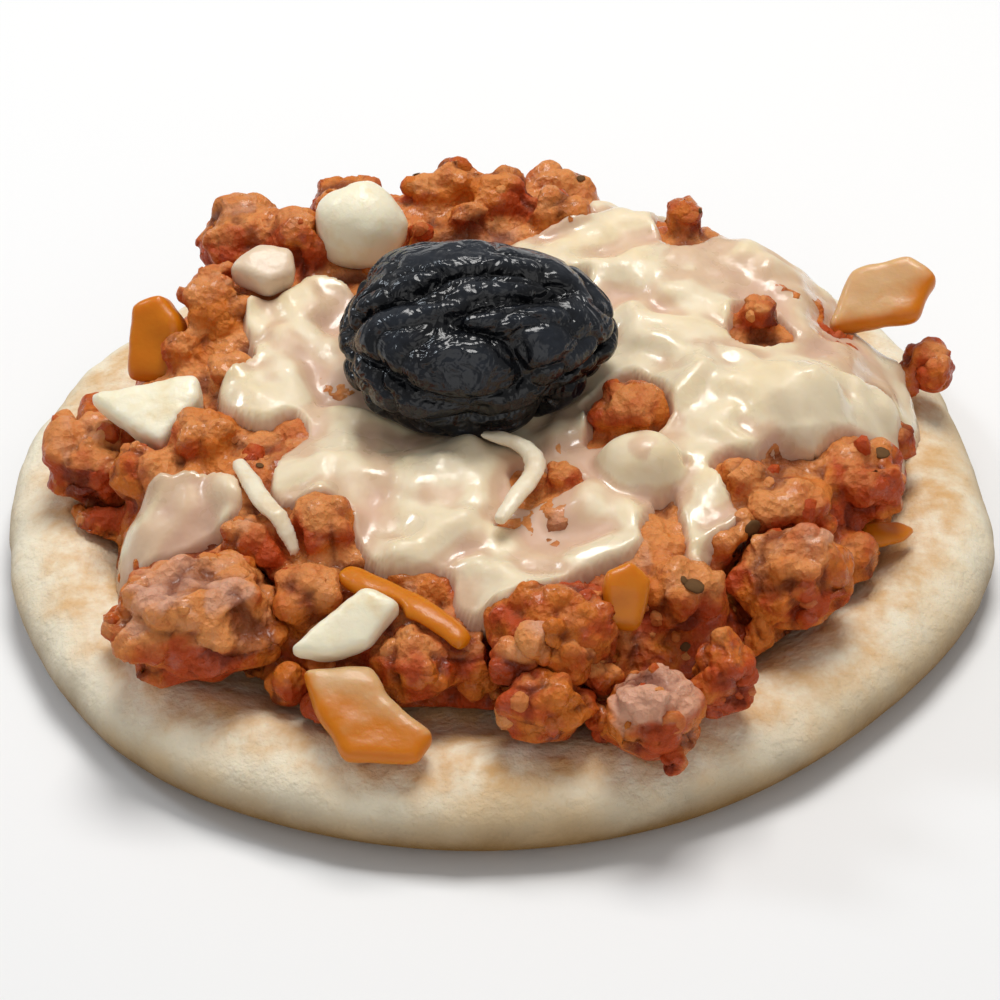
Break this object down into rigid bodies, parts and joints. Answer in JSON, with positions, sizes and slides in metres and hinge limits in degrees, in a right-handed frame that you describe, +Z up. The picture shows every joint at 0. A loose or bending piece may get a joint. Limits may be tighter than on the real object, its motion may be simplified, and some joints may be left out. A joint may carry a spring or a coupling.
{
  "type": "mini pizza with minced meat",
  "caption": "Small round pizza: thick soft bread base, heaped minced meat, melted cheese, cheese pieces, cooked onion and a wrinkled black olive.",
  "frame": {"origin": "middle of the flat underside", "axes": "+Z up; -Y is the side that faces the viewer in the picture and +X is to the viewer's right"},
  "size_m": [0.085, 0.0848, 0.0297],
  "materials": {
    "bread": "soft baked dough, cream with pale browning",
    "mince": "fried minced meat in tomato, uneven and slightly oily",
    "melted_cheese": "melted cheese, oily and wet on its upper faces",
    "cheese": "unmelted cheese, satin",
    "onion": "cooked onion, translucent and oily",
    "olive": "dried black olive, wrinkled and shiny"
  },
  "bodies": {
    "root": {"bread_base": "bread", "minced_meat": "mince", "meat_lump_front_left": "mince", "meat_lump_front_middle": "mince", "meat_lump_front_low": "mince", "meat_lump_front_pink": "mince", "meat_lump_front_right": "mince", "meat_lump_right": "mince", "meat_lump_left": "mince", "melted_cheese": "melted_cheese", "melted_cheese_left": "melted_cheese", "cheese_piece_back": "cheese", "cheese_piece_left": "cheese", "cheese_piece_front": "cheese", "cheese_piece_upper_left": "cheese", "cheese_shred_left": "cheese", "cheese_shred_middle": "cheese", "onion_right": "onion", "onion_left": "onion", "onion_front": "onion", "onion_middle": "onion", "onion_low_right": "onion", "onion_strip": "onion", "black_olive": "olive"}
  },
  "joints": []
}
